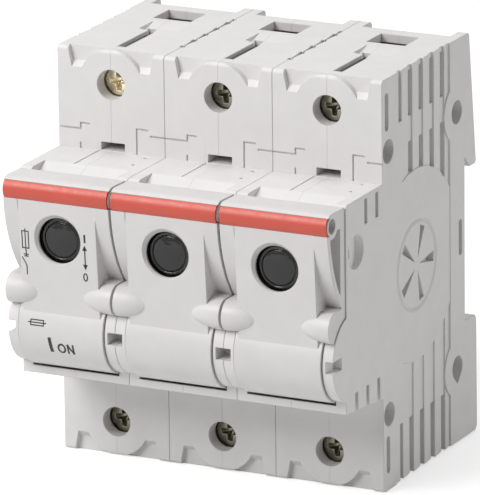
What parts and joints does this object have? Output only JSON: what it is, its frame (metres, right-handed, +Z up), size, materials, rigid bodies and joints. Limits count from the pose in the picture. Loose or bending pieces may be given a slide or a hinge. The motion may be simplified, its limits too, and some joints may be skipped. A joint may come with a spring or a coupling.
{
  "type": "fuse switch disconnector",
  "caption": "Three-pole switch disconnector for bottle fuses on a standard rail, with tilting fuse carriers, sight glasses, thumb grips and screw terminals above and below.",
  "frame": {"origin": "middle of the rail seat on the back, at mid-height and mid-width", "axes": "+X to the right seen from the front, +Y from the front to the back, +Z up"},
  "size_m": [0.0808, 0.0796, 0.096],
  "materials": {
    "housing": "matt moulded",
    "carrier": "satin moulded",
    "band": "satin",
    "glass": "smoked and clear",
    "copper": "plain",
    "steel": "zinc plated",
    "screw": "yellow passivated",
    "clip": "matt moulded",
    "spring": "drawn wire",
    "rivet": "plain"
  },
  "bodies": {
    "housing": {"left_shell_1": "housing", "right_shell_1": "housing", "upper_contact_1": "copper", "lower_contact_1": "copper", "rivets_1": "rivet", "clip_spring_1": "spring", "left_shell_2": "housing", "right_shell_2": "housing", "upper_contact_2": "copper", "lower_contact_2": "copper", "rivets_2": "rivet", "clip_spring_2": "spring", "left_shell_3": "housing", "right_shell_3": "housing", "upper_contact_3": "copper", "lower_contact_3": "copper", "rivets_3": "rivet", "clip_spring_3": "spring"},
    "carrier": {"fuse_carrier_1": "carrier", "colour_band_1": "band", "sight_glass_1": "glass", "knife_contact_1": "copper", "fuse_carrier_2": "carrier", "colour_band_2": "band", "sight_glass_2": "glass", "knife_contact_2": "copper", "fuse_carrier_3": "carrier", "colour_band_3": "band", "sight_glass_3": "glass", "knife_contact_3": "copper", "tie_rod": "steel"},
    "upper_screw_1_body": {"upper_screw_1": "screw"},
    "upper_clamp_1_body": {"upper_clamp_1": "steel"},
    "lower_screw_1_body": {"lower_screw_1": "screw"},
    "lower_clamp_1_body": {"lower_clamp_1": "steel"},
    "upper_screw_2_body": {"upper_screw_2": "screw"},
    "upper_clamp_2_body": {"upper_clamp_2": "steel"},
    "lower_screw_2_body": {"lower_screw_2": "screw"},
    "lower_clamp_2_body": {"lower_clamp_2": "steel"},
    "upper_screw_3_body": {"upper_screw_3": "screw"},
    "upper_clamp_3_body": {"upper_clamp_3": "steel"},
    "lower_screw_3_body": {"lower_screw_3": "screw"},
    "lower_clamp_3_body": {"lower_clamp_3": "steel"},
    "clip_1": {"rail_clip_1": "clip"},
    "clip_2": {"rail_clip_2": "clip"},
    "clip_3": {"rail_clip_3": "clip"}
  },
  "joints": [
    {"name": "carrier_turn", "type": "hinge", "parent": "housing", "child": "carrier", "pos_m": [0, -0.0606, -0.0113], "axis": [1, 0, 0], "range_deg": [0, 80]},
    {"name": "upper_screw_turn_1", "type": "hinge", "parent": "housing", "child": "upper_screw_1_body", "pos_m": [-0.027, -0.039, 0.0399], "axis": [0, 1, 0], "range_deg": [0, 2880.1]},
    {"name": "upper_clamp_slide_1", "type": "slide", "parent": "housing", "child": "upper_clamp_1_body", "axis": [0, 1, 0], "range_m": [-0.008, 0]},
    {"name": "lower_screw_turn_1", "type": "hinge", "parent": "housing", "child": "lower_screw_1_body", "pos_m": [-0.027, -0.039, -0.0399], "axis": [0, 1, 0], "range_deg": [0, 2880.1]},
    {"name": "lower_clamp_slide_1", "type": "slide", "parent": "housing", "child": "lower_clamp_1_body", "axis": [0, 1, 0], "range_m": [-0.008, 0]},
    {"name": "upper_screw_turn_2", "type": "hinge", "parent": "housing", "child": "upper_screw_2_body", "pos_m": [0, -0.039, 0.0399], "axis": [0, 1, 0], "range_deg": [0, 2880.1]},
    {"name": "upper_clamp_slide_2", "type": "slide", "parent": "housing", "child": "upper_clamp_2_body", "axis": [0, 1, 0], "range_m": [-0.008, 0]},
    {"name": "lower_screw_turn_2", "type": "hinge", "parent": "housing", "child": "lower_screw_2_body", "pos_m": [0, -0.039, -0.0399], "axis": [0, 1, 0], "range_deg": [0, 2880.1]},
    {"name": "lower_clamp_slide_2", "type": "slide", "parent": "housing", "child": "lower_clamp_2_body", "axis": [0, 1, 0], "range_m": [-0.008, 0]},
    {"name": "upper_screw_turn_3", "type": "hinge", "parent": "housing", "child": "upper_screw_3_body", "pos_m": [0.027, -0.039, 0.0399], "axis": [0, 1, 0], "range_deg": [0, 2880.1]},
    {"name": "upper_clamp_slide_3", "type": "slide", "parent": "housing", "child": "upper_clamp_3_body", "axis": [0, 1, 0], "range_m": [-0.008, 0]},
    {"name": "lower_screw_turn_3", "type": "hinge", "parent": "housing", "child": "lower_screw_3_body", "pos_m": [0.027, -0.039, -0.0399], "axis": [0, 1, 0], "range_deg": [0, 2880.1]},
    {"name": "lower_clamp_slide_3", "type": "slide", "parent": "housing", "child": "lower_clamp_3_body", "axis": [0, 1, 0], "range_m": [-0.008, 0]},
    {"name": "clip_slide_1", "type": "slide", "parent": "housing", "child": "clip_1", "axis": [0, 0, 1], "range_m": [-0.004, 0], "stiffness_N_per_m": 500, "springref_m": 0.002, "deforming": ["clip_spring_1"]},
    {"name": "clip_slide_2", "type": "slide", "parent": "housing", "child": "clip_2", "axis": [0, 0, 1], "range_m": [-0.004, 0], "stiffness_N_per_m": 500, "springref_m": 0.002, "deforming": ["clip_spring_2"]},
    {"name": "clip_slide_3", "type": "slide", "parent": "housing", "child": "clip_3", "axis": [0, 0, 1], "range_m": [-0.004, 0], "stiffness_N_per_m": 500, "springref_m": 0.002, "deforming": ["clip_spring_3"]}
  ],
  "couplings": [
    {"joint": "upper_screw_turn_1", "follows": "upper_clamp_slide_1", "rad_per_m": -6283.2},
    {"joint": "lower_screw_turn_1", "follows": "lower_clamp_slide_1", "rad_per_m": -6283.2},
    {"joint": "upper_screw_turn_2", "follows": "upper_clamp_slide_2", "rad_per_m": -6283.2},
    {"joint": "lower_screw_turn_2", "follows": "lower_clamp_slide_2", "rad_per_m": -6283.2},
    {"joint": "upper_screw_turn_3", "follows": "upper_clamp_slide_3", "rad_per_m": -6283.2},
    {"joint": "lower_screw_turn_3", "follows": "lower_clamp_slide_3", "rad_per_m": -6283.2}
  ]
}
